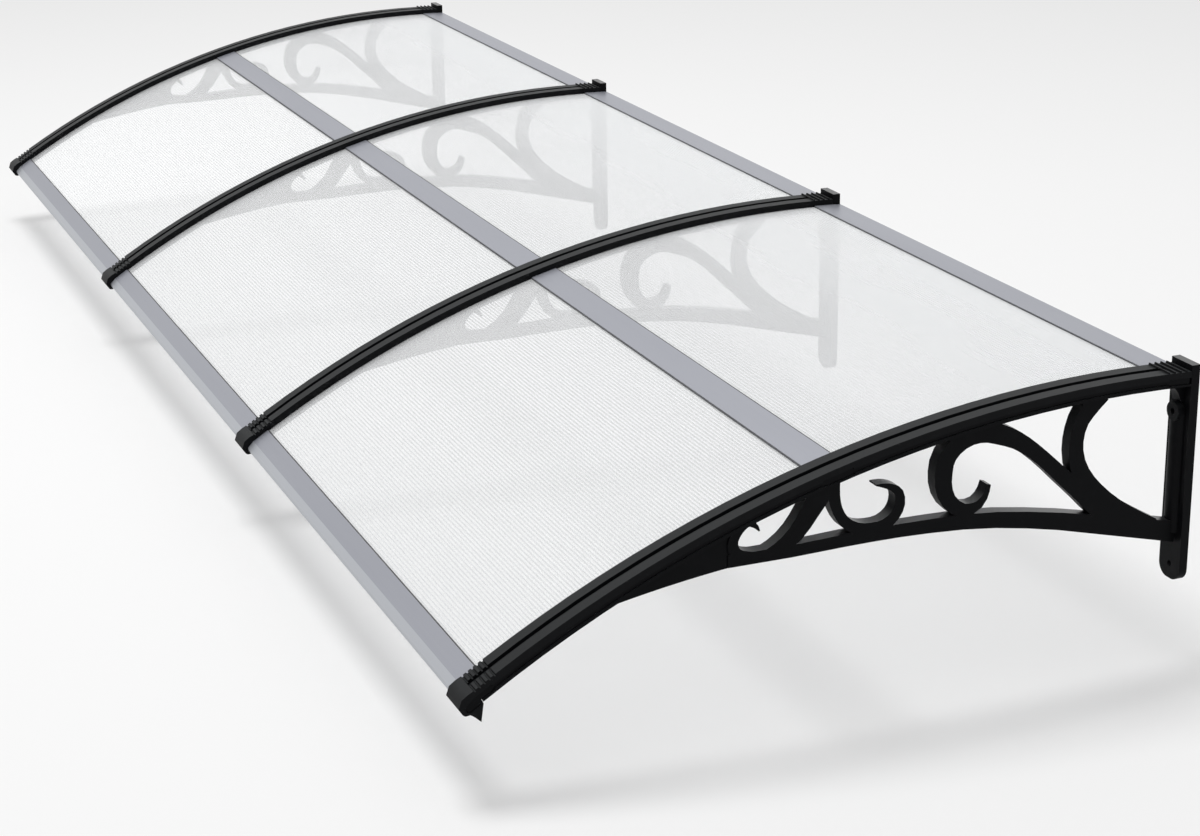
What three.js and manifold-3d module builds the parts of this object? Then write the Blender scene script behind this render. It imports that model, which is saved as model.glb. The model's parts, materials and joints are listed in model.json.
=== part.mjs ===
// Polycarbonate door canopy: bays of twin-wall sheet carried by scrolled brackets on a wall.
// Millimetres. +X runs along the wall, -Y points away from the wall, +Z is up.
// The origin is on the wall plane, in the middle of the centre rear bar's back face.
import * as THREE from 'three';
import Module from 'manifold-3d';
import { mergeVertices } from 'three/addons/utils/BufferGeometryUtils.js';

const wasm = await Module();
wasm.setup();

// Overall sizes
const bayCount = 3;
const bayPitch = 985;
const projection = 1000;
const archRadius = 1683.5;
const apexFromWall = 81;
const armWidth = 45;

// Stack of an arm, from the top of the cover strip down
const stripOverBar = 8;
const barFlange = 1.5;
const sheetThickness = 4.5;
const armFloor = 2.8;
const fitGap = 0.3;
const pocketGap = 0.8;

// Bars
const barWeb = 2;
const rearBarWidth = 45;
const middleBarWidth = 41;
const middleBarFromWall = 513;
const frontBarWidth = 41.5;
const frontRidgeFromBack = 27;
const frontSlotDepth = 17;
const noseWall = 1.6;
const noseRadius = 5;
const noseDrop = 12.5;
const noseTopAngle = 80;
const noseClearance = 0.5;
const barEndGap = 1;
const fillerRecess = 1.5;

// Cover strip
const grooveWidth = 9;
const grooveDepth = 4.4;
const frontRibCount = 5;
const frontRibPitch = 7.3;
const frontRibDepth = 2.5;
const frontRibFlat = 3.8;
const frontRibsBehindNose = 27;
const rearRibCount = 4;
const rearRibPitch = 8.7;
const rearRibHeight = 2.5;
const rearRibThickness = 2.2;
const ribFlankShare = 0.3;
const ribTaperShare = 0.2;

// Nose of the cover strip, with depths behind its front and the hook's heights below the front bar
const noseRidgeBack = 9.3;
const noseCrownBack = 18.6;
const noseCrownHeight = 0.7;
const noseFrontDrop = 7.2;
const noseFrontWall = 6;
const noseEdgeRadius = 5.6;
const hookHeelBack = 28;
const hookTipBack = 12.2;
const hookTipDrop = 18;
const hookBrowBack = 9;
const hookBrowDrop = 5.7;
const hookNeckBack = 7;
const hookNeckDrop = 1.2;

// Bracket
const plateHeight = 297;
const plateThickness = 12;
const plateAboveArch = 6.6;
const plateCornerRadius = 18;
const tabLength = 53;
const spineWidth = 10;
const scrollThickness = 18;
const webThickness = 14;
const webSag = 9;
const webHeelShare = 0.8;
const webPullShare = 0.915;
const webTipShare = 1.04;
const bowRootWidth = 28;
const freeArmLength = 200;
const columnWidth = 26;
const columnDepth = 10;
const bossBelowTop = 66;
const gussetReach = 46;
const gussetDrop = 52;
const wallHoleDiameter = 8.5;
const lowerHoleFromBottom = 20;

// Clamp screws
const screwDiameter = 4;
const screwHeadDiameter = 8;
const screwHeadHeight = 2.8;
const screwPoint = 1.2;
const screwTipBelowTop = 6.3;
const screwCrownShare = 0.6;
const screwHoleGap = 0.3;
const screwReachShares = [0.1, 0.28, 0.545, 0.72, 1.1];

// Facets
const archStep = 45;
const roundSides = 10;
const overlap = 1;

// Levels in an arm, as heights above the top of the arch
const barTop = -stripOverBar - fitGap;
const slotTop = barTop - barFlange;
const sheetTop = slotTop - fitGap;
const sheetBottom = sheetTop - sheetThickness;
const slotBottom = sheetBottom - fitGap;
const barBottom = slotBottom - barFlange;
const pocketFloor = barBottom - fitGap;
const armUnderside = pocketFloor - armFloor;
const stripLip = sheetTop + fitGap;
const spineTop = stripLip - fitGap;

// The brackets' own drawing starts at the top edge of the wall plate.
const archCentreY = -apexFromWall;
const archCentreZ = -plateAboveArch - archRadius;

// Point at arc length s from the apex, positive to the front, and height h above the arch.
function archPoint(s, h) {
  const angle = s / archRadius;
  const radius = archRadius + h;
  return new THREE.Vector2(archCentreY - radius * Math.sin(angle), archCentreZ + radius * Math.cos(angle));
}

// Arc length of the point that lies this far from the wall at height h above the arch.
function arcAt(fromWall, h) {
  return archRadius * Math.asin((fromWall - apexFromWall) / (archRadius + h));
}

// Height of the line h above the arch, at a distance from the wall.
function archLevel(fromWall, h) {
  return archPoint(arcAt(fromWall, h), h).y;
}

// Places along the arch
const noseFront = arcAt(projection, -noseFrontDrop);
const frontBarFront = noseFront - noseFrontWall;
const frontBarBack = frontBarFront - frontBarWidth;
const frontRidge = frontBarBack + frontRidgeFromBack;
const frontSlotEnd = frontBarBack + frontSlotDepth;
const noseBack = frontSlotEnd + barWeb;
const noseCentreS = frontBarFront - noseRadius;
const noseBottom = barTop - noseDrop;
const noseCentreH = noseBottom + noseRadius;
const middleS = arcAt(middleBarFromWall, 0);
const middleHalf = middleBarWidth / 2;
const rearBarFront = arcAt(rearBarWidth, barTop);
const sheetEndGap = 2 * pocketGap;
const armEnd = noseBack - 2 * fitGap;
const scrollReach = projection - freeArmLength;

const alongWall = new THREE.Matrix4().makeBasis(
  new THREE.Vector3(0, 1, 0),
  new THREE.Vector3(0, 0, 1),
  new THREE.Vector3(1, 0, 0),
);
const offWall = new THREE.Matrix4().makeBasis(
  new THREE.Vector3(1, 0, 0),
  new THREE.Vector3(0, 0, 1),
  new THREE.Vector3(0, -1, 0),
);

// Outline of corners [s, h], with long edges stepped so that they follow the arch.
function archOutline(corners) {
  const outline = [];
  corners.forEach(([s, h], index) => {
    const [nextS, nextH] = corners[(index + 1) % corners.length];
    const steps = Math.max(1, Math.ceil(Math.abs(nextS - s) / archStep));
    for (let step = 0; step < steps; step += 1) {
      const share = step / steps;
      outline.push(archPoint(s + (nextS - s) * share, h + (nextH - h) * share));
    }
  });
  return outline;
}

// Round stretch of corners [s, h] about a centre, from one angle to another in degrees.
function roundCorners(centreS, centreH, radius, from, to, steps) {
  return Array.from({ length: steps + 1 }, (_, step) => {
    const angle = THREE.MathUtils.degToRad(from + ((to - from) * step) / steps);
    return [centreS + radius * Math.cos(angle), centreH + radius * Math.sin(angle)];
  });
}

// A side outline in Y and Z, given its width along the wall and centred on X = 0.
function extrudeAlongWall(outline, width, holes = []) {
  const shape = new THREE.Shape(outline);
  shape.holes = holes.map((hole) => new THREE.Path(hole));
  const geometry = new THREE.ExtrudeGeometry(shape, { depth: width, bevelEnabled: false });
  geometry.applyMatrix4(alongWall);
  geometry.translate(-width / 2, 0, 0);
  return geometry;
}

// Closed geometry as a solid for joining and cutting.
function solid(geometry) {
  const bare = geometry.clone();
  bare.deleteAttribute('normal');
  bare.deleteAttribute('uv');
  const welded = mergeVertices(bare);
  return new wasm.Manifold(new wasm.Mesh({
    numProp: 3,
    vertProperties: new Float32Array(welded.attributes.position.array),
    triVerts: new Uint32Array(welded.index.array),
  }));
}

function join(geometries) {
  return geometries.map(solid).reduce((whole, piece) => whole.add(piece));
}

function cut(body, geometries) {
  return geometries.map(solid).reduce((whole, piece) => whole.subtract(piece), body);
}

function geometryOf(body) {
  const mesh = body.getMesh();
  const geometry = new THREE.BufferGeometry();
  geometry.setAttribute('position', new THREE.BufferAttribute(mesh.vertProperties, 3));
  geometry.setIndex(new THREE.BufferAttribute(mesh.triVerts, 1));
  geometry.computeVertexNormals();
  return geometry;
}

// Cylinder square to the arch at a distance from the wall, between two heights.
function archCylinder(fromWall, diameter, low, high) {
  const angle = arcAt(fromWall, 0) / archRadius;
  const geometry = new THREE.CylinderGeometry(diameter / 2, diameter / 2, high - low, roundSides);
  geometry.rotateX(Math.PI / 2);
  geometry.translate(0, 0, (low + high) / 2);
  geometry.rotateX(angle);
  const foot = archPoint(arcAt(fromWall, 0), 0);
  geometry.translate(0, foot.x, foot.y);
  return geometry;
}

const screwPlaces = screwReachShares.map((share) => share * scrollReach);

// Cover strip: clamps the sheets, with lips between the bars and a hooked nose round the front bar.
function coverStrip() {
  const start = plateThickness + fitGap;
  const underside = [
    [arcAt(start, -stripOverBar), -stripOverBar],
    [rearBarFront + pocketGap, -stripOverBar],
    [rearBarFront + pocketGap, stripLip],
    [middleS - middleHalf - pocketGap, stripLip],
    [middleS - middleHalf - pocketGap, -stripOverBar],
    [middleS + middleHalf + pocketGap, -stripOverBar],
    [middleS + middleHalf + pocketGap, stripLip],
    [frontBarBack - pocketGap, stripLip],
    [frontBarBack - pocketGap, -stripOverBar],
    [frontRidge, -stripOverBar],
  ];
  const cavityRadius = noseRadius + noseClearance;
  const cavity = roundCorners(noseCentreS, noseCentreH, cavityRadius, noseTopAngle, -90, 8);
  const hookInner = noseBottom - noseClearance;
  const hook = [
    [noseFront - hookHeelBack, hookInner],
    [noseFront - hookTipBack, hookInner - hookTipDrop],
    [noseFront - hookBrowBack, hookInner - hookBrowDrop],
    [noseFront - hookNeckBack, hookInner - hookNeckDrop],
  ];
  const nose = [
    ...roundCorners(noseFront - noseEdgeRadius, noseCentreH, noseEdgeRadius, -70, 0, 3),
    [noseFront, -noseFrontDrop],
    [noseFront - noseRidgeBack, 0],
    [noseFront - noseCrownBack, noseCrownHeight],
  ];
  const ribs = [];
  const ribsStart = noseFront - frontRibsBehindNose;
  for (let rib = 0; rib < frontRibCount; rib += 1) {
    const crest = ribsStart - rib * frontRibPitch;
    const valley = frontRibPitch - frontRibFlat;
    const flank = valley * ribFlankShare;
    ribs.push([crest, 0], [crest - flank, -frontRibDepth]);
    ribs.push([crest - valley + flank, -frontRibDepth], [crest - valley, 0]);
  }
  const wallRibs = [];
  const firstRib = arcAt(start, 0) + rearRibCount * rearRibPitch;
  for (let rib = 0; rib < rearRibCount; rib += 1) {
    const front = firstRib - rib * rearRibPitch;
    const back = front - rearRibThickness;
    const taper = rearRibThickness * ribTaperShare;
    wallRibs.push([front, 0], [front - taper, rearRibHeight]);
    wallRibs.push([back + taper, rearRibHeight], [back, 0]);
  }
  const corners = [...underside, ...cavity, ...hook, ...nose, ...ribs, ...wallRibs, [arcAt(start, 0), 0]];
  const body = solid(extrudeAlongWall(archOutline(corners), armWidth));
  const groove = archOutline([
    [firstRib - rearRibPitch, -grooveDepth],
    [ribsStart, -grooveDepth],
    [ribsStart, overlap],
    [firstRib - rearRibPitch, overlap],
  ]);
  const holes = screwPlaces.map((fromWall) => archCylinder(
    fromWall,
    screwDiameter + 2 * screwHoleGap,
    stripLip - overlap,
    -screwTipBelowTop + screwHoleGap,
  ));
  return geometryOf(cut(body, [extrudeAlongWall(groove, grooveWidth), ...holes]));
}

// Bow: the lower chord of the bracket, as [share of the reach, share of its root's drop, width].
// A drop is measured down from the underside of the arm, so that the bow follows the arch.
const bowRoot = plateThickness - overlap;
const bowRootDepth = plateHeight - tabLength - bowRootWidth / 2;
const bowRootDrop = bowRootDepth + archLevel(bowRoot, armUnderside);
const bowLine = [
  [0.8125, 0.196, 16],
  [0.7, 0.3435, 16],
  [0.6, 0.439, 17],
  [0.5, 0.5255, 18],
  [0.375, 0.6315, 21],
  [0.25, 0.7635, 23],
  [0.125, 0.901, 26],
  [bowRoot / scrollReach, 1, bowRootWidth],
];

// Height of the bow's middle line at a share of the reach.
function bowLevel(share) {
  const next = bowLine.findIndex(([reach]) => reach <= share);
  const near = bowLine[Math.max(next, 1)];
  const far = bowLine[Math.max(next, 1) - 1];
  const between = Math.min((share - near[0]) / (far[0] - near[0]), 1);
  const drop = THREE.MathUtils.lerp(near[1], far[1], between) * bowRootDrop;
  return archLevel(share * scrollReach, armUnderside) - drop;
}

// Ribbon of varying width along a smooth line of points [y, z, width].
function ribbon(points, steps) {
  const line = new THREE.CatmullRomCurve3(points.map((point) => new THREE.Vector3(...point)));
  const left = [];
  const right = [];
  for (let step = 0; step <= steps; step += 1) {
    const middle = line.getPoint(step / steps);
    const along = line.getTangent(step / steps);
    const across = new THREE.Vector2(-along.y, along.x).normalize().multiplyScalar(middle.z / 2);
    left.push(new THREE.Vector2(middle.x + across.x, middle.y + across.y));
    right.unshift(new THREE.Vector2(middle.x - across.x, middle.y - across.y));
  }
  return extrudeAlongWall([...left, ...right], scrollThickness);
}

// Scroll points are [share of the reach, share of the height from the bow to the arm, width].
function scroll(points, steps) {
  return ribbon(points.map(([reach, rise, width]) => {
    const low = bowLevel(reach);
    const high = archLevel(reach * scrollReach, armUnderside);
    return [-reach * scrollReach, low + (high - low) * rise, width];
  }), steps);
}

function scrollwork() {
  const bow = ribbon(bowLine.map(([reach, , width]) => [
    -reach * scrollReach,
    bowLevel(reach),
    width,
  ]), 15);
  const frontCurl = scroll([
    [0.761, 0.61, 2], [0.767, 0.76, 6], [0.779, 0.92, 9], [0.795, 0.82, 11],
    [0.805, 0.53, 14], [0.799, 0.19, 15], [0.777, 0, 16], [0.75, 0, 14],
  ], 17);
  const frontStrut = scroll([
    [0.75, -0.02, 14], [0.723, 0.12, 20], [0.698, 0.34, 24], [0.679, 0.59, 26],
    [0.662, 0.83, 30], [0.652, 1.03, 34],
  ], 8);
  const middleCurl = scroll([
    [0.639, 1.03, 20], [0.636, 0.71, 16], [0.63, 0.49, 14], [0.618, 0.29, 14], [0.598, 0.15, 15],
    [0.573, 0.09, 17], [0.549, 0.11, 16], [0.531, 0.21, 15], [0.523, 0.34, 14.5], [0.525, 0.49, 12],
    [0.536, 0.58, 9], [0.551, 0.64, 6], [0.565, 0.68, 2],
  ], 24);
  const wallCurl = scroll([
    [0.367, 0.37, 6], [0.372, 0.26, 8.5], [0.386, 0.16, 13], [0.411, 0.13, 18], [0.434, 0.23, 20],
    [0.446, 0.39, 23], [0.448, 0.57, 25], [0.443, 0.74, 25], [0.426, 0.86, 25], [0.401, 0.92, 26],
    [0.374, 0.91, 27], [0.346, 0.84, 26], [0.32, 0.76, 23], [0.295, 0.66, 21], [0.266, 0.53, 20],
    [0.233, 0.38, 21], [0.2, 0.25, 22], [0.17, 0.14, 24], [0.14, 0.05, 24],
  ], 30);
  const wallStrut = scroll([
    [0.172, 1.02, 32], [0.189, 0.92, 25], [0.203, 0.82, 21], [0.21, 0.7, 20], [0.211, 0.58, 21],
    [0.204, 0.44, 24], [0.188, 0.32, 26], [0.165, 0.22, 27], [0.135, 0.13, 28], [0.098, 0.06, 28],
    [0.06, 0.01, 26],
  ], 15);
  return [bow, frontCurl, frontStrut, middleCurl, wallCurl, wallStrut];
}

// Web that fills the sharp corner between the bow and the arm at the front.
function frontWeb() {
  const bowLow = bowLevel(webHeelShare) - bowLine[0][2] / 2;
  const armRoot = armUnderside + overlap;
  const webTip = webTipShare * scrollReach;
  const edge = new THREE.QuadraticBezierCurve(
    new THREE.Vector2(-webHeelShare * scrollReach, bowLow),
    new THREE.Vector2(-webPullShare * scrollReach, bowLow - webSag),
    new THREE.Vector2(-webTip, archLevel(webTip, armRoot)),
  );
  const top = [];
  const steps = 5;
  for (let step = 1; step <= steps; step += 1) {
    const reach = THREE.MathUtils.lerp(webTipShare, webHeelShare, step / steps) * scrollReach;
    top.push(new THREE.Vector2(-reach, archLevel(reach, armRoot)));
  }
  return extrudeAlongWall([...edge.getPoints(8), ...top], webThickness);
}

// Curved gusset under the arm at the wall plate.
function gusset() {
  const armRoot = archLevel(gussetReach, armUnderside + overlap);
  const root = -plateThickness + overlap;
  const edge = new THREE.QuadraticBezierCurve(
    new THREE.Vector2(-gussetReach, armRoot - overlap),
    new THREE.Vector2(-plateThickness - columnDepth, armRoot - overlap),
    new THREE.Vector2(-plateThickness - columnDepth / 2, -gussetDrop),
  );
  const corner = [
    new THREE.Vector2(root, -gussetDrop),
    new THREE.Vector2(root, armRoot),
    new THREE.Vector2(-gussetReach, armRoot),
  ];
  return extrudeAlongWall([...edge.getPoints(7), ...corner], scrollThickness);
}

// Wall plate with its rounded tab, and the column and boss on its front.
function wallPlate() {
  const half = armWidth / 2;
  const cornerX = half - plateCornerRadius;
  const cornerZ = -plateHeight + plateCornerRadius;
  const outline = new THREE.Shape();
  outline.moveTo(-half, 0);
  outline.lineTo(-half, cornerZ);
  outline.absarc(-cornerX, cornerZ, plateCornerRadius, Math.PI, 1.5 * Math.PI);
  outline.absarc(cornerX, cornerZ, plateCornerRadius, 1.5 * Math.PI, 2 * Math.PI);
  outline.lineTo(half, 0);
  const plate = new THREE.ExtrudeGeometry(outline, {
    depth: plateThickness,
    bevelEnabled: false,
    curveSegments: 8,
  });
  plate.applyMatrix4(offWall);

  const columnRoot = -plateThickness + overlap;
  const section = new THREE.Shape();
  section.moveTo(columnWidth / 2, columnRoot);
  section.lineTo(-columnWidth / 2, columnRoot);
  section.absellipse(0, columnRoot, columnWidth / 2, columnDepth + overlap, Math.PI, 2 * Math.PI);
  const columnFoot = -bowRootDepth;
  const column = new THREE.ExtrudeGeometry(section, {
    depth: -bossBelowTop - columnFoot,
    bevelEnabled: false,
    curveSegments: 10,
  });
  column.translate(0, 0, columnFoot);

  const bossDepth = columnDepth + overlap;
  const boss = new THREE.CylinderGeometry(columnWidth / 2, columnWidth / 2, bossDepth, 2 * roundSides);
  boss.translate(0, columnRoot - bossDepth / 2, -bossBelowTop);
  return [plate, column, boss];
}

function wallHole(belowTop) {
  const length = 4 * plateThickness;
  const hole = new THREE.CylinderGeometry(wallHoleDiameter / 2, wallHoleDiameter / 2, length, roundSides);
  hole.translate(0, -plateThickness, -belowTop);
  return hole;
}

// Arm of the bracket: a flange under the sheets, with pockets for the bars, and a spine between bays.
function arm() {
  const root = plateThickness - overlap;
  const flange = archOutline([
    [arcAt(root, pocketFloor), pocketFloor],
    [rearBarFront + pocketGap, pocketFloor],
    [rearBarFront + pocketGap, slotBottom],
    [middleS - middleHalf - pocketGap, slotBottom],
    [middleS - middleHalf - pocketGap, pocketFloor],
    [middleS + middleHalf + pocketGap, pocketFloor],
    [middleS + middleHalf + pocketGap, slotBottom],
    [frontBarBack - pocketGap, slotBottom],
    [frontBarBack - pocketGap, pocketFloor],
    [armEnd, pocketFloor],
    [armEnd, armUnderside],
    [arcAt(root, armUnderside), armUnderside],
  ]);
  const spine = archOutline([
    [arcAt(root, spineTop), spineTop],
    [armEnd, spineTop],
    [armEnd, armUnderside + overlap],
    [arcAt(root, armUnderside + overlap), armUnderside + overlap],
  ]);
  return [extrudeAlongWall(flange, armWidth), extrudeAlongWall(spine, spineWidth)];
}

// Space above the arm's underside, which trims the ends of the scrolls.
function aboveArm() {
  const root = armUnderside + overlap;
  return extrudeAlongWall(archOutline([
    [arcAt(0, root), root], [noseFront, root], [noseFront, plateHeight], [arcAt(0, root), plateHeight],
  ]), armWidth);
}

function bracket() {
  const scrolls = cut(join([...scrollwork(), frontWeb(), gusset()]), [aboveArm()]);
  const body = join([...arm(), ...wallPlate()]).add(scrolls);
  const screwHoles = screwPlaces.map((fromWall) => archCylinder(
    fromWall,
    screwDiameter + 2 * screwHoleGap,
    armUnderside - overlap,
    spineTop + overlap,
  ));
  const wallHoles = [wallHole(bossBelowTop), wallHole(plateHeight - lowerHoleFromBottom)];
  return geometryOf(cut(body, [...screwHoles, ...wallHoles]));
}

// Bars and sheets run from spine to spine.
const runLength = bayPitch - spineWidth - 2 * barEndGap;

function rearBar() {
  const outline = archOutline([
    [arcAt(0, barTop), barTop],
    [rearBarFront, barTop],
    [rearBarFront, slotTop],
    [arcAt(barWeb, slotTop), slotTop],
    [arcAt(barWeb, slotBottom), slotBottom],
    [rearBarFront, slotBottom],
    [rearBarFront, barBottom],
    [arcAt(0, barBottom), barBottom],
  ]);
  // The back corners are notched round the wall plates.
  const notches = [-1, 1].map((side) => {
    const width = armWidth + 2 * fitGap;
    const depth = plateThickness + 2 * fitGap;
    const notch = new THREE.BoxGeometry(width, 2 * depth, plateHeight);
    notch.translate((side * bayPitch) / 2, 0, 0);
    return notch;
  });
  return geometryOf(cut(solid(extrudeAlongWall(outline, runLength)), notches));
}

function middleBar() {
  const back = middleS - middleHalf;
  const front = middleS + middleHalf;
  const webBack = middleS - barWeb / 2;
  const webFront = middleS + barWeb / 2;
  return extrudeAlongWall(archOutline([
    [back, barTop], [front, barTop], [front, slotTop], [webFront, slotTop], [webFront, slotBottom],
    [front, slotBottom], [front, barBottom], [back, barBottom], [back, slotBottom], [webBack, slotBottom],
    [webBack, slotTop], [back, slotTop],
  ]), runLength);
}

function frontBar() {
  const outline = archOutline([
    [frontBarBack, barTop],
    [frontRidge, barTop],
    ...roundCorners(noseCentreS, noseCentreH, noseRadius, noseTopAngle, -90, 8),
    [noseBack, noseBottom],
    [noseBack, barBottom],
    [frontBarBack, barBottom],
    [frontBarBack, slotBottom],
    [frontSlotEnd, slotBottom],
    [frontSlotEnd, slotTop],
    [frontBarBack, slotTop],
  ]);
  const hollow = archOutline([
    [noseBack, barTop - noseWall],
    [frontRidge, barTop - noseWall],
    ...roundCorners(noseCentreS, noseCentreH, noseRadius - noseWall, noseTopAngle, -90, 6),
    [noseBack + noseWall, noseBottom + noseWall],
    [noseBack + noseWall, barBottom],
    [noseBack, barBottom + noseWall],
  ]);
  return extrudeAlongWall(outline, runLength, [hollow]);
}

// Sheet between two places along the arch.
function sheet(from, to) {
  return extrudeAlongWall(archOutline([
    [from, sheetTop], [to, sheetTop], [to, sheetBottom], [from, sheetBottom],
  ]), runLength);
}

// Pan-head screw that stands square to the arch, with its heights measured from the top of the arch.
function clampScrew() {
  const shank = screwDiameter / 2;
  const head = screwHeadDiameter / 2;
  const seat = armUnderside - fitGap;
  const profile = [
    [0, seat - screwHeadHeight],
    [head * screwCrownShare, seat - screwHeadHeight],
    [head, seat - screwHeadHeight / 2],
    [head, seat],
    [shank, seat],
    [shank, -screwTipBelowTop - screwPoint],
    [0, -screwTipBelowTop],
  ].map(([radius, height]) => new THREE.Vector2(radius, height));
  const geometry = new THREE.LatheGeometry(profile, roundSides);
  geometry.rotateX(Math.PI / 2);
  return geometry;
}

// Filler that closes the outer side of an end arm, with the section of the bars and sheets.
const fillerWidth = (armWidth - spineWidth) / 2 - barEndGap - fillerRecess;

function sideFiller() {
  const back = arcAt(plateThickness + sheetEndGap, sheetTop);
  const middleBack = middleS - middleHalf;
  const middleFront = middleS + middleHalf;
  return extrudeAlongWall(archOutline([
    [back, barTop], [rearBarFront, barTop], [rearBarFront, sheetTop], [middleBack, sheetTop],
    [middleBack, barTop], [middleFront, barTop], [middleFront, sheetTop], [frontBarBack, sheetTop],
    [frontBarBack, barTop], [frontRidge, barTop],
    ...roundCorners(noseCentreS, noseCentreH, noseRadius, noseTopAngle, -90, 8),
    [noseBack, noseBottom], [noseBack, barBottom], [frontBarBack, barBottom], [frontBarBack, sheetBottom],
    [middleFront, sheetBottom], [middleFront, barBottom], [middleBack, barBottom], [middleBack, sheetBottom],
    [rearBarFront, sheetBottom], [rearBarFront, barBottom], [back, barBottom],
  ]), fillerWidth);
}

const black = () => new THREE.MeshStandardMaterial({ color: 0x1a1b1e, roughness: 0.45, metalness: 0 });
const silver = () => new THREE.MeshStandardMaterial({ color: 0xb4b8bf, roughness: 0.4, metalness: 0.9 });
const clear = () => new THREE.MeshStandardMaterial({ color: 0xf0f2f3, roughness: 0.25, metalness: 0 });
const zinc = () => new THREE.MeshStandardMaterial({ color: 0x9a9da1, roughness: 0.35, metalness: 1 });

const canopy = new THREE.Group();
const rearBarMiddle = (archLevel(0, barTop) + archLevel(0, barBottom)) / 2;
canopy.position.z = -rearBarMiddle;

function place(name, geometry, material, x) {
  const mesh = new THREE.Mesh(geometry, material);
  mesh.name = name;
  mesh.position.x = x;
  canopy.add(mesh);
  return mesh;
}

const bracketGeometry = bracket();
const stripGeometry = coverStrip();
const screwGeometry = clampScrew();
for (let index = 0; index <= bayCount; index += 1) {
  const x = (index - bayCount / 2) * bayPitch;
  const number = index + 1;
  place(`bracket_${number}`, bracketGeometry, black(), x);
  place(`cover_strip_${number}`, stripGeometry, black(), x);
  screwPlaces.forEach((fromWall, screwIndex) => {
    const screw = place(`clamp_screw_${number}_${screwIndex + 1}`, screwGeometry, zinc(), x);
    const foot = archPoint(arcAt(fromWall, 0), 0);
    screw.position.y = foot.x;
    screw.position.z = foot.y;
    screw.rotation.x = arcAt(fromWall, 0) / archRadius;
  });
}

const sheetBack = arcAt(plateThickness + sheetEndGap, sheetTop);
const rearSheetGeometry = sheet(sheetBack, middleS - barWeb / 2 - sheetEndGap);
const frontSheetGeometry = sheet(middleS + barWeb / 2 + sheetEndGap, frontSlotEnd - sheetEndGap);
const rearBarGeometry = rearBar();
const middleBarGeometry = middleBar();
const frontBarGeometry = frontBar();
for (let bay = 0; bay < bayCount; bay += 1) {
  const x = (bay - (bayCount - 1) / 2) * bayPitch;
  const number = bay + 1;
  place(`rear_bar_${number}`, rearBarGeometry, silver(), x);
  place(`middle_bar_${number}`, middleBarGeometry, silver(), x);
  place(`front_bar_${number}`, frontBarGeometry, silver(), x);
  place(`rear_sheet_${number}`, rearSheetGeometry, clear(), x);
  place(`front_sheet_${number}`, frontSheetGeometry, clear(), x);
}

const fillerGeometry = sideFiller();
[-1, 1].forEach((side, index) => {
  const fromArm = spineWidth / 2 + barEndGap + fillerWidth / 2;
  place(`side_filler_${index + 1}`, fillerGeometry, black(), side * ((bayCount * bayPitch) / 2 + fromArm));
});

export default canopy;
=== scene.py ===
import json
import math

import bpy
from mathutils import Matrix, Vector

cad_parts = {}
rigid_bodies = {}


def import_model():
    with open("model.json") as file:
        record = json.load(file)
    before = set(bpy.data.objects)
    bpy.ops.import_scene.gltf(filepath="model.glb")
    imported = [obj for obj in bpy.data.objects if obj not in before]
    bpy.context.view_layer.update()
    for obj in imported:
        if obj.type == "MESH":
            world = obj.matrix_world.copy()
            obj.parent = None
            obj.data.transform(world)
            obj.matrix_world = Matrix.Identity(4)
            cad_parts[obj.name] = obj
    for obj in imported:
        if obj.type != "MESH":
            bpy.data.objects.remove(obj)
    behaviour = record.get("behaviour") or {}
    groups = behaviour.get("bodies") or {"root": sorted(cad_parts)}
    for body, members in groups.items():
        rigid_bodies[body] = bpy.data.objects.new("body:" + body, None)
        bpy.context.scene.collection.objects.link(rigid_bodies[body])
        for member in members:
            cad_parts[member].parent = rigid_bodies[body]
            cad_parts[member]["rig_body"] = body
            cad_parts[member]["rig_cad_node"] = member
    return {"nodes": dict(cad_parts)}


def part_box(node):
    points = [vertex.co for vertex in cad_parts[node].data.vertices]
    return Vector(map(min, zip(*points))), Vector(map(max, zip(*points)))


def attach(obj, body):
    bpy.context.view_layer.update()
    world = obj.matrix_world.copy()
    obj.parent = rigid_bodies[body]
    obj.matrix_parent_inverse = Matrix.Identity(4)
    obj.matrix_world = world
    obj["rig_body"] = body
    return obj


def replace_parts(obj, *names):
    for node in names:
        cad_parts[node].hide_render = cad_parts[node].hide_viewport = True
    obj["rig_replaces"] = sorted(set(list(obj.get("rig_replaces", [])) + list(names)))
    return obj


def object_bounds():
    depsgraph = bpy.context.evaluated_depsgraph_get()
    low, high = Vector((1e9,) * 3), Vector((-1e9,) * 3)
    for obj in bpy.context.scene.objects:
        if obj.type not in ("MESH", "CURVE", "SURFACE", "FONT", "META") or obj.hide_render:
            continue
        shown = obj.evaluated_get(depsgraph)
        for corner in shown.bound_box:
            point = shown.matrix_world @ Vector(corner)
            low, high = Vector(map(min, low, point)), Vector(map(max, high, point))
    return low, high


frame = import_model()
cad_low, cad_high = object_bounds()
nodes = frame["nodes"]

# Sizes of the canopy in metres, the same as in the part's source
BAYS = 3
BAY_PITCH = 0.985
ARCH_RADIUS = 1.6835
APEX_FROM_WALL = 0.081
PLATE_ABOVE_ARCH = 0.0066
STRIP_OVER_BAR = 0.008
BAR_FLANGE = 0.0015
SHEET_THICKNESS = 0.0045
FIT_GAP = 0.0003
SPINE_WIDTH = 0.010
ARM_WIDTH = 0.045
BAR_END_GAP = 0.001
MIDDLE_BAR_FROM_WALL = 0.513
MIDDLE_BAR_WIDTH = 0.041
REAR_BAR_WIDTH = 0.045

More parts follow.
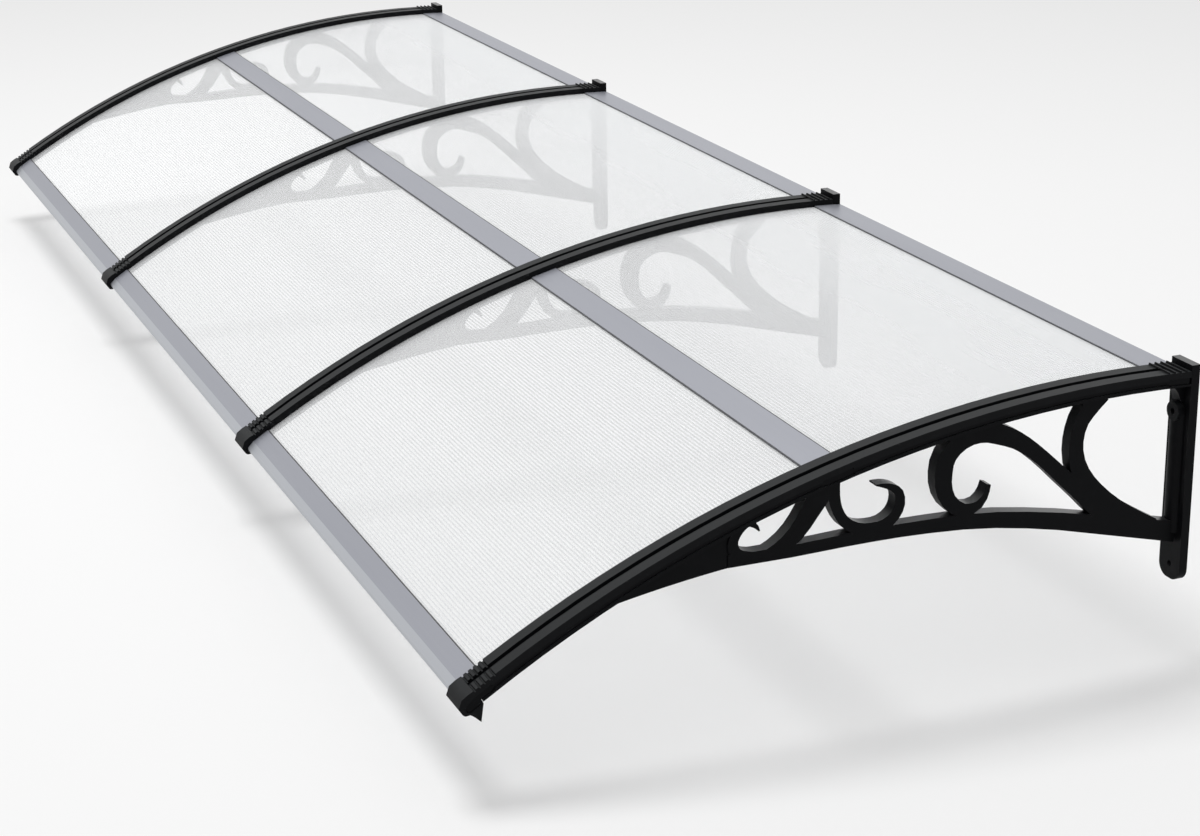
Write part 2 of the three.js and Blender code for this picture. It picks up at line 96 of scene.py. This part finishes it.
# Sizes of what is modelled here
CELL_MAP = "cells"
CELL_PITCH = 0.0049
SKIN = 0.00045
WEB = 0.0004
CELL_MERGE_GAP = 0.00005
SEAL_HEIGHT = 0.0011
SEAL_WIDTH = 0.0016
SEAL_ROUND = SEAL_HEIGHT * 0.3
MOULDED_EDGE = 0.0009
ROLLED_EDGE = 0.00035
EDGE_STEPS = 2
FLAT_FACE_WEIGHT = 80
MERGE_GAP = 0.00002
FLAT_ANGLE = 0.6
CORNER_ANGLE = 38.0
RIDGE_ANGLE = 10.0
SMOOTH_ANGLE = 32.0
SHEET_SMOOTH_ANGLE = 20.0
LIGHT_PASSED = 0.65

BAR_TOP = -STRIP_OVER_BAR - FIT_GAP
SHEET_TOP = BAR_TOP - BAR_FLANGE - FIT_GAP
RUN_LENGTH = BAY_PITCH - SPINE_WIDTH - 2 * BAR_END_GAP
PLATE_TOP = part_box("bracket_1")[1].z
ARCH_CENTRE_Y = -APEX_FROM_WALL
ARCH_CENTRE_Z = PLATE_TOP - PLATE_ABOVE_ARCH - ARCH_RADIUS


def arch_point(s, h):
    """Y and Z at arc length s from the apex towards the front and height h above the arch."""
    angle = s / ARCH_RADIUS
    radius = ARCH_RADIUS + h
    return ARCH_CENTRE_Y - radius * math.sin(angle), ARCH_CENTRE_Z + radius * math.cos(angle)


def arc_of(y, z):
    """Arc length of a point, the inverse of arch_point."""
    return ARCH_RADIUS * math.atan2(ARCH_CENTRE_Y - y, z - ARCH_CENTRE_Z)


def arc_at(from_wall, h):
    return ARCH_RADIUS * math.asin((from_wall - APEX_FROM_WALL) / (ARCH_RADIUS + h))


# Shader maths

class Socket:
    """A value in a node tree: operators on it add Math nodes."""

    def __init__(self, tree, output):
        self.tree = tree
        self.output = output

    def maths(self, operation, a, b=0.0):
        made = self.tree.nodes.new("ShaderNodeMath")
        made.operation = operation
        for index, value in enumerate((a, b)):
            feed(self.tree, made.inputs[index], value)
        return Socket(self.tree, made.outputs[0])

    def larger(self, other):
        return self.maths("MAXIMUM", self, other)

    def __abs__(self):
        return self.maths("ABSOLUTE", self)

    def __mod__(self, other):
        return self.maths("FLOORED_MODULO", self, other)

    def __add__(self, other):
        return self.maths("ADD", self, other)

    def __sub__(self, other):
        return self.maths("SUBTRACT", self, other)

    def __rsub__(self, other):
        return self.maths("SUBTRACT", other, self)

    def __mul__(self, other):
        return self.maths("MULTIPLY", self, other)

    def __neg__(self):
        return self.maths("SUBTRACT", 0.0, self)

    __radd__ = __add__
    __rmul__ = __mul__


def feed(tree, socket, value):
    if isinstance(value, Socket):
        tree.links.new(value.output, socket)
    else:
        socket.default_value = value


def add_node(tree, kind, settings=None, out=0, **values):
    made = tree.nodes.new(kind)
    for name, setting in (settings or {}).items():
        if name == "stops":
            ramp = made.color_ramp
            while len(ramp.elements) < len(setting):
                ramp.elements.new(0.5)
            for element, (place, colour) in zip(ramp.elements, setting):
                element.position = place
                element.color = colour
        else:
            setattr(made, name, setting)
    for name, value in values.items():
        key = int(name[1:]) if name[0] == "i" and name[1:].isdigit() else name.replace("_", " ")
        feed(tree, made.inputs[key], value)
    return Socket(tree, made.outputs[out])


class Finish:
    """A material with a Principled shader: constants are set on its sockets, and what varies is linked."""

    def __init__(self, name, **constants):
        self.material = bpy.data.materials.new(name)
        self.material.use_nodes = True
        self.tree = self.material.node_tree
        self.shader = self.tree.nodes["Principled BSDF"]
        for socket, value in constants.items():
            self.shader.inputs[socket.replace("_", " ")].default_value = value
        self.place = self.add("ShaderNodeTexCoord", out="Object")

    def add(self, kind, settings=None, out=0, **values):
        return add_node(self.tree, kind, settings, out, **values)

    def link(self, **values):
        for socket, value in values.items():
            feed(self.tree, self.shader.inputs[socket.replace("_", " ")], value)

    def stretched(self, x, y, z):
        """The piece's own coordinates, each scaled by its own factor."""
        return self.add("ShaderNodeMapping", i0=self.place, i3=(x, y, z))

    def noise(self, vector, scale, detail=3.0, roughness=0.5):
        return self.add("ShaderNodeTexNoise", i0=vector, Scale=scale, Detail=detail, Roughness=roughness)

    def ramp(self, value, *stops):
        grey = [(place, (level, level, level, 1.0)) for place, level in stops]
        return self.add("ShaderNodeValToRGB", {"stops": grey}, i0=value)

    def between(self, factor, first, second):
        """Colour between two colours, each a tuple or a colour made before."""
        first, second = (one if isinstance(one, Socket) else (*one, 1.0) for one in (first, second))
        return self.add("ShaderNodeMix", {"data_type": "RGBA"}, out=2, i0=factor, i6=first, i7=second)

    def facing(self, axis):
        """How far a face points along X, Y or Z, from -1 to 1."""
        normal = self.add("ShaderNodeNewGeometry", out="Normal")
        return self.add("ShaderNodeSeparateXYZ", out=axis, Vector=normal)

    def bump(self, height, strength, distance):
        return self.add("ShaderNodeBump", Height=height, Strength=strength, Distance=distance)


def moulded_black(name, colour, worn, dust_and_painted_highlight, rough, gloss, polish):
    """Black moulded plastic: fine grain, drifting gloss, paler rubbed patches, polish on top, and a paler
    colour on top-facing faces that is dust and a painted highlight.
    """
    finish = Finish(name, Specular_IOR_Level=gloss, Coat_Roughness=0.28)
    drift = finish.noise(finish.place, 9.0, 4.0)
    grain = finish.noise(finish.place, 900.0, 2.0)
    rub = finish.ramp(finish.noise(finish.place, 38.0, 5.0, 0.62), (0.52, 0.0), (0.78, 1.0))
    # On faces that point up, the paler colour is dust and a painted highlight; the coat there is polish.
    upward = finish.ramp(finish.facing("Z"), (0.45, 0.0), (0.85, 1.0))
    plain = finish.between(rub * 0.35 + grain * 0.25, colour, worn)
    finish.link(
        Base_Color=finish.between(upward * (0.6 + drift * 0.4), plain, dust_and_painted_highlight),
        Roughness=rough + drift * 0.14 + grain * 0.08 - rub * 0.05,
        Coat_Weight=upward * (polish + drift * 0.1),
        Normal=finish.bump(grain, 0.12, 0.0002),
    )
    return finish.material


def drawn_aluminium(name):
    """Satin anodised aluminium with fine draw lines along X, and a painted highlight that makes the steep
    front flank brighter.
    """
    finish = Finish(name, Specular_IOR_Level=0.5, Metallic=0.55)
    lines = finish.noise(finish.stretched(0.9, 420.0, 420.0), 3.0, 4.0, 0.6)
    # Faces that point to the front get a paler colour, a painted highlight.
    front_flank_painted_highlight = finish.ramp(-finish.facing("Y"), (0.60, 0.0), (0.68, 1.0))
    cloud = finish.noise(finish.stretched(1.0, 6.0, 6.0), 2.2, 3.0)
    patches = finish.noise(finish.stretched(14.0, 60.0, 60.0), 2.0, 5.0, 0.65)
    scuff = finish.ramp(patches, (0.6, 0.0), (0.82, 1.0))
    satin = finish.between(lines * 0.55 + cloud * 0.45, (0.262, 0.270, 0.308), (0.345, 0.354, 0.390))
    finish.link(
        Base_Color=finish.between(front_flank_painted_highlight, satin, (0.42, 0.435, 0.465)),
        Roughness=0.36 + lines * 0.12 + scuff * 0.10,
        Normal=finish.bump(lines, 0.10, 0.0002),
    )
    return finish.material


def light_kept(finish):
    """One, and less for light on its way through, because a clear sheet scatters most of it onwards."""
    passing = finish.add("ShaderNodeLightPath", out="Is Shadow Ray")
    return 1.0 - passing * LIGHT_PASSED


def clear_skin(name):
    """Skins of the twin-wall sheet: clear, milkier near the wall, greyer where a cell wall meets them."""
    finish = Finish(name, IOR=1.58, Specular_IOR_Level=0.5)
    flow = finish.noise(finish.stretched(0.8, 160.0, 160.0), 2.0, 3.0)
    haze = finish.noise(finish.stretched(2.0, 3.0, 3.0), 1.6, 3.0)
    cells = finish.add("ShaderNodeUVMap", {"uv_map": CELL_MAP})
    across = finish.add("ShaderNodeSeparateXYZ", out="Y", Vector=cells)
    from_wall = abs((across + 0.5) % 1.0 - 0.5)
    line = finish.ramp(from_wall, (0.08, 1.0), (0.22, 0.0))
    depth = finish.add("ShaderNodeSeparateXYZ", out="Y", Vector=finish.place)
    milky = finish.ramp(1.0 + depth * 2.0, (0.35, 0.0), (0.95, 1.0))
    finish.link(
        Base_Color=finish.between(line * (0.75 + flow * 0.25), (0.98, 0.984, 0.988), (0.80, 0.82, 0.835)),
        Roughness=0.16 + haze * 0.10 + flow * 0.06,
        Alpha=(0.18 + haze * 0.05 + flow * 0.04 + line * 0.07 + milky * 0.12) * light_kept(finish),
    )
    return finish.material


def cell_wall(name):
    """Walls between the cells, whiter and denser than the skins."""
    finish = Finish(name, IOR=1.58)
    flow = finish.noise(finish.stretched(1.5, 90.0, 90.0), 2.0, 3.0)
    finish.link(
        Base_Color=finish.between(flow, (0.86, 0.875, 0.885), (0.93, 0.94, 0.945)),
        Roughness=0.3 + flow * 0.1,
        Alpha=(0.34 + flow * 0.12) * light_kept(finish),
    )
    return finish.material


def seal_rubber(name):
    """Dark grey rubber of the seals between the bars and the sheets."""
    finish = Finish(name)
    grain = finish.noise(finish.place, 700.0, 2.0)
    drift = finish.noise(finish.place, 14.0, 3.0)
    finish.link(
        Base_Color=finish.between(drift, (0.045, 0.046, 0.05), (0.085, 0.086, 0.092)),
        Roughness=0.6 + grain * 0.2,
    )
    return finish.material


def zinc_plate(name):
    """Zinc-plated steel of the clamp screws."""
    finish = Finish(name, Metallic=1.0)
    spangle = finish.noise(finish.place, 260.0, 3.0)
    finish.link(
        Base_Color=finish.between(spangle, (0.46, 0.47, 0.48), (0.63, 0.63, 0.62)),
        Roughness=0.28 + spangle * 0.2,
    )
    return finish.material


# The third colour of each is dust and a painted highlight, laid on faces that point up.
BRACKET_BLACK = moulded_black("bracket_black_moulded", (0.0022, 0.0024, 0.0030), (0.007, 0.0074, 0.0082),
                              (0.014, 0.0148, 0.0160), 0.34, 0.06, 0.65)
STRIP_BLACK = moulded_black("strip_black_moulded", (0.0028, 0.0031, 0.0038), (0.009, 0.0095, 0.0105),
                            (0.017, 0.0185, 0.0195), 0.36, 0.08, 0.0)
BAR_SILVER = drawn_aluminium("bar_satin_anodised")
SHEET_SKIN = clear_skin("sheet_clear_skin")
SHEET_WEB = cell_wall("sheet_cell_wall")
SEAL_GREY = seal_rubber("seal_rubber_grey")
SCREW_ZINC = zinc_plate("screw_zinc_plate")


# Modelling helpers

def start_edit(piece):
    bpy.ops.object.select_all(action="DESELECT")
    bpy.context.view_layer.objects.active = piece
    piece.select_set(True)
    bpy.ops.object.mode_set(mode="EDIT")
    bpy.ops.mesh.select_all(action="SELECT")


def end_edit():
    bpy.ops.object.mode_set(mode="OBJECT")


def apply_modifier(piece, kind, **settings):
    made = piece.modifiers.new(kind.lower(), kind)
    for name, value in settings.items():
        setattr(made, name, value)
    bpy.context.view_layer.objects.active = piece
    bpy.ops.object.modifier_apply(modifier=made.name)


def dressed_copy(node, name, material, edge, corner=CORNER_ANGLE):
    """A merged copy of a CAD node with rounded edges and smooth round faces, which stands for the node."""
    piece = nodes[node].copy()
    piece.data = nodes[node].data.copy()
    piece.name = name
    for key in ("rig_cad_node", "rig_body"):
        del piece[key]
    piece.parent = None
    bpy.context.scene.collection.objects.link(piece)
    start_edit(piece)
    bpy.ops.mesh.remove_doubles(threshold=MERGE_GAP)
    bpy.ops.mesh.dissolve_limited(angle_limit=math.radians(FLAT_ANGLE))
    end_edit()
    apply_modifier(piece, "BEVEL", width=edge, segments=EDGE_STEPS, limit_method="ANGLE",
                   angle_limit=math.radians(corner), use_clamp_overlap=True, miter_outer="MITER_ARC")
    finish_piece(piece, material)
    # Flat faces stay flat, and only the rounded edges shade round.
    apply_modifier(piece, "WEIGHTED_NORMAL", keep_sharp=True, weight=FLAT_FACE_WEIGHT)
    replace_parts(piece, node)


def finish_piece(piece, material, smooth=SMOOTH_ANGLE):
    piece.data.materials.clear()
    for one in material if isinstance(material, tuple) else (material,):
        piece.data.materials.append(one)
    bpy.ops.object.select_all(action="DESELECT")
    piece.select_set(True)
    bpy.context.view_layer.objects.active = piece
    bpy.ops.object.shade_smooth_by_angle(angle=math.radians(smooth))
    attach(piece, "root")


def moved_copy(piece, name, x, *replaced):
    """A copy of a finished piece with its own mesh, moved along X in its mesh."""
    made = piece.copy()
    made.data = piece.data.copy()
    made.name = name
    made.parent = None
    made.data.transform(Matrix.Translation((x, 0.0, 0.0)))
    if "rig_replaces" in made:
        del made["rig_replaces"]
    bpy.context.scene.collection.objects.link(made)
    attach(made, "root")
    if replaced:
        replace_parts(made, *replaced)
    return made


# Brackets and cover strips
for number in range(1, BAYS + 2):
    dressed_copy(f"bracket_{number}", f"moulded_bracket_{number}", BRACKET_BLACK,
                 MOULDED_EDGE)
    dressed_copy(f"cover_strip_{number}", f"moulded_strip_{number}", STRIP_BLACK,
                 MOULDED_EDGE)

# Fillers that close the outer sides of the end arms
for number in (1, 2):
    dressed_copy(f"side_filler_{number}", f"moulded_filler_{number}", BRACKET_BLACK,
                 ROLLED_EDGE)

# Bars, with the low ridge of the front bar rounded like their corners
for bar in ("rear_bar", "middle_bar", "front_bar"):
    for number in range(1, BAYS + 1):
        dressed_copy(f"{bar}_{number}", f"drawn_{bar}_{number}", BAR_SILVER, ROLLED_EDGE,
                     corner=RIDGE_ANGLE)


# Twin-wall sheets
def twin_wall_sheet(node, name):
    """A sheet with its real cells: one cell is arrayed, its walls are thickened, and the sheet is arched."""
    arcs = [arc_of(v.co.y, v.co.z) for v in nodes[node].data.vertices]
    s_back, s_front = min(arcs), max(arcs)
    cells = round((s_front - s_back) / CELL_PITCH)
    pitch = (s_front - s_back - WEB) / cells
    height = SHEET_THICKNESS - SKIN
    bpy.ops.object.select_all(action="DESELECT")
    bpy.ops.mesh.primitive_cube_add(size=1.0, location=(0.0, 0.0, 0.0))
    piece = bpy.context.object
    piece.name = name
    start_edit(piece)
    bpy.ops.transform.resize(value=(RUN_LENGTH, pitch, height))
    bpy.ops.transform.translate(value=(0.0, pitch / 2, -SHEET_THICKNESS / 2))
    bpy.ops.mesh.select_mode(type="FACE")
    bpy.ops.mesh.select_all(action="DESELECT")
    end_edit()
    # The cube's ends and its far side are opened, which leaves two skins and one wall.
    for face in piece.data.polygons:
        face.select = abs(face.normal.x) > 0.5 or face.normal.y > 0.5
    bpy.ops.object.mode_set(mode="EDIT")
    bpy.ops.mesh.delete(type="ONLY_FACE")
    end_edit()
    apply_modifier(piece, "ARRAY", count=cells, use_relative_offset=False, use_constant_offset=True,
                   constant_offset_displace=(0.0, pitch, 0.0), use_merge_vertices=True,
                   merge_threshold=CELL_MERGE_GAP)
    # The last cell is closed by a wall of its own.
    far = max(v.co.y for v in piece.data.vertices)
    bpy.ops.object.mode_set(mode="EDIT")
    bpy.ops.mesh.select_mode(type="VERT")
    bpy.ops.mesh.select_all(action="DESELECT")
    end_edit()
    for vertex in piece.data.vertices:
        vertex.select = vertex.co.y > far - pitch / 4
    bpy.ops.object.mode_set(mode="EDIT")
    bpy.ops.mesh.edge_face_add()
    end_edit()
    piece.data.materials.append(SHEET_SKIN)
    piece.data.materials.append(SHEET_WEB)
    for face in piece.data.polygons:
        face.material_index = 1 if abs(face.normal.y) > 0.5 else 0
    apply_modifier(piece, "SOLIDIFY", solidify_mode="NON_MANIFOLD", thickness=WEB, offset=0.0,
                   nonmanifold_thickness_mode="FIXED")
    # The map counts the cells, so that a line can follow each wall.
    cell_map = piece.data.uv_layers.new(name=CELL_MAP)
    for loop in piece.data.loops:
        place = piece.data.vertices[loop.vertex_index].co
        cell_map.data[loop.index].uv = (place.x / RUN_LENGTH + 0.5, place.y / pitch)
    for vertex in piece.data.vertices:
        y, z = arch_point(s_back + WEB / 2 + vertex.co.y, SHEET_TOP + vertex.co.z)
        vertex.co = (vertex.co.x, y, z)
    finish_piece(piece, (SHEET_SKIN, SHEET_WEB), SHEET_SMOOTH_ANGLE)
    return piece


def bay_middle(number):
    return (number - (BAYS + 1) / 2) * BAY_PITCH


for side in ("rear", "front"):
    sheet = twin_wall_sheet(f"{side}_sheet_2", f"twin_wall_{side}_2")
    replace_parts(sheet, f"{side}_sheet_2")
    for number in (1, 3):
        moved_copy(sheet, f"twin_wall_{side}_{number}", bay_middle(number), f"{side}_sheet_{number}")


# Rubber seals along the edges of the bars, where they meet the sheets
def seal_bead(s):
    """A rounded bead that lies on the sheet at arc length s."""
    y, z = arch_point(s, SHEET_TOP + SEAL_HEIGHT / 2)
    bpy.ops.object.select_all(action="DESELECT")
    bpy.ops.mesh.primitive_cube_add(size=1.0, location=(0.0, 0.0, 0.0))
    bead = bpy.context.object
    start_edit(bead)
    length = BAY_PITCH - ARM_WIDTH - 2 * FIT_GAP
    bpy.ops.transform.resize(value=(length, SEAL_WIDTH, SEAL_HEIGHT))
    end_edit()
    apply_modifier(bead, "BEVEL", width=SEAL_ROUND, segments=EDGE_STEPS, limit_method="NONE")
    bead.data.transform(Matrix.Translation((0.0, y, z)) @ Matrix.Rotation(s / ARCH_RADIUS, 4, "X"))
    return bead


middle_s = arc_at(MIDDLE_BAR_FROM_WALL, 0.0)
front_bar_back = min(arc_of(v.co.y, v.co.z) for v in nodes["front_bar_2"].data.vertices)
reach = SEAL_WIDTH / 2 + FIT_GAP
beads = [seal_bead(s) for s in (
    arc_at(REAR_BAR_WIDTH, BAR_TOP) + reach,
    middle_s - MIDDLE_BAR_WIDTH / 2 - reach,
    middle_s + MIDDLE_BAR_WIDTH / 2 + reach,
    front_bar_back - reach,
)]
bpy.ops.object.select_all(action="DESELECT")
for bead in beads:
    bead.select_set(True)
bpy.context.view_layer.objects.active = beads[0]
bpy.ops.object.join()
seals = bpy.context.object
seals.name = "bar_seals_2"
finish_piece(seals, SEAL_GREY)
for number in (1, 3):
    moved_copy(seals, f"bar_seals_{number}", bay_middle(number))

# Clamp screws
for name, node in nodes.items():
    if name.startswith("clamp_screw"):
        node.data.materials.clear()
        node.data.materials.append(SCREW_ZINC)


# Camera at the photograph's viewing angle
CAMERA_AZIMUTH = 67.996
CAMERA_ELEVATION = 18.975
CAMERA_ROLL = -0.755
CAMERA_ABOVE_PLATE = 0.983066
CAMERA_PLACE = (4.0309, -1.84125, CAMERA_ABOVE_PLATE + PLATE_TOP)
PHOTO_WIDTH = 1200.0
FOCAL_PIXELS = 2528.641
SENSOR_WIDTH = 36.0
CAMERA_LENS = SENSOR_WIDTH * FOCAL_PIXELS / PHOTO_WIDTH


def photograph_camera():
    azimuth, elevation, roll = (math.radians(a) for a in (CAMERA_AZIMUTH, CAMERA_ELEVATION, CAMERA_ROLL))
    back = Vector((math.sin(azimuth) * math.cos(elevation), -math.cos(azimuth) * math.cos(elevation),
                   math.sin(elevation)))
    right = (-back).cross(Vector((0, 0, 1))).normalized()
    up = right.cross(-back)
    turned_right = right * math.cos(roll) + up * math.sin(roll)
    turned_up = up * math.cos(roll) - right * math.sin(roll)
    data = bpy.data.cameras.new("photograph_camera")
    data.sensor_width = SENSOR_WIDTH
    data.lens = CAMERA_LENS
    data.clip_end = 100.0
    camera = bpy.data.objects.new("photograph_camera", data)
    bpy.context.scene.collection.objects.link(camera)
    turn = Matrix((turned_right, turned_up, back)).transposed().to_4x4()
    camera.matrix_world = Matrix.Translation(CAMERA_PLACE) @ turn
    bpy.context.scene.camera = camera


photograph_camera()


# Floor and light
FLOOR_DROP = 0.10
FLOOR_WHITE = 0.98
FLOOR_GLOW = 0.35
FLOOR_SIZE = 60.0
FILL_LEVEL = 0.62
KEY_PLACE = (-0.5, -1.3, 5.8)
KEY_AIM = (0.0, -0.5, -0.2)
KEY_SIZE = 2.6
KEY_POWER = 230.0


def seen_directly(tree):
    """One for what the camera sees, straight or in a reflection or through the sheets."""
    rays = ("Is Camera Ray", "Is Glossy Ray", "Is Transmission Ray")
    camera, glossy, through = (add_node(tree, "ShaderNodeLightPath", out=ray) for ray in rays)
    return camera.larger(glossy).larger(through)


def pale_floor():
    bpy.ops.object.select_all(action="DESELECT")
    bpy.ops.mesh.primitive_plane_add(size=FLOOR_SIZE, location=(0.0, 0.0, cad_low.z - FLOOR_DROP))
    floor = bpy.context.object
    floor.name = "studio_floor"
    finish = Finish("floor_pale", Roughness=0.9, Specular_IOR_Level=0.0)
    mottle = finish.noise(finish.place, 0.8, 2.0)
    finish.link(Base_Color=finish.between(mottle, (0.81, 0.81, 0.81), (0.825, 0.825, 0.825)))
    # Seen by the camera the floor is partly its own white, which leaves a pale shadow.
    tree = finish.tree
    glow = finish.add("ShaderNodeEmission", Color=(1.0, 1.0, 1.0, 1.0), Strength=FLOOR_WHITE)
    mixed = finish.add("ShaderNodeMixShader", i0=seen_directly(tree) * FLOOR_GLOW,
                       i1=Socket(tree, finish.shader.outputs[0]), i2=glow)
    # From below the floor is clear, so that the underside of the canopy can be seen.
    below = finish.add("ShaderNodeNewGeometry", out="Backfacing")
    clear = finish.add("ShaderNodeBsdfTransparent")
    one_sided = finish.add("ShaderNodeMixShader", i0=below, i1=mixed, i2=clear)
    feed(tree, tree.nodes["Material Output"].inputs["Surface"], one_sided)
    floor.data.materials.append(finish.material)


def white_world():
    world = bpy.data.worlds.new("studio_white")
    world.use_nodes = True
    bpy.context.scene.world = world
    tree = world.node_tree
    background = tree.nodes["Background"]
    background.inputs["Color"].default_value = (1.0, 1.0, 1.0, 1.0)
    feed(tree, background.inputs["Strength"], FILL_LEVEL + seen_directly(tree) * (1.0 - FILL_LEVEL))


def soft_lamp(name, place, aim, size, power):
    data = bpy.data.lights.new(name, "AREA")
    data.shape = "DISK"
    data.size = size
    data.energy = power
    lamp = bpy.data.objects.new(name, data)
    bpy.context.scene.collection.objects.link(lamp)
    lamp.location = place
    lamp.rotation_mode = "QUATERNION"
    lamp.rotation_quaternion = (Vector(aim) - Vector(place)).to_track_quat("-Z", "Y")


pale_floor()
white_world()
soft_lamp("key_lamp", KEY_PLACE, KEY_AIM, KEY_SIZE, KEY_POWER)

bpy.context.scene.view_settings.view_transform = "Standard"
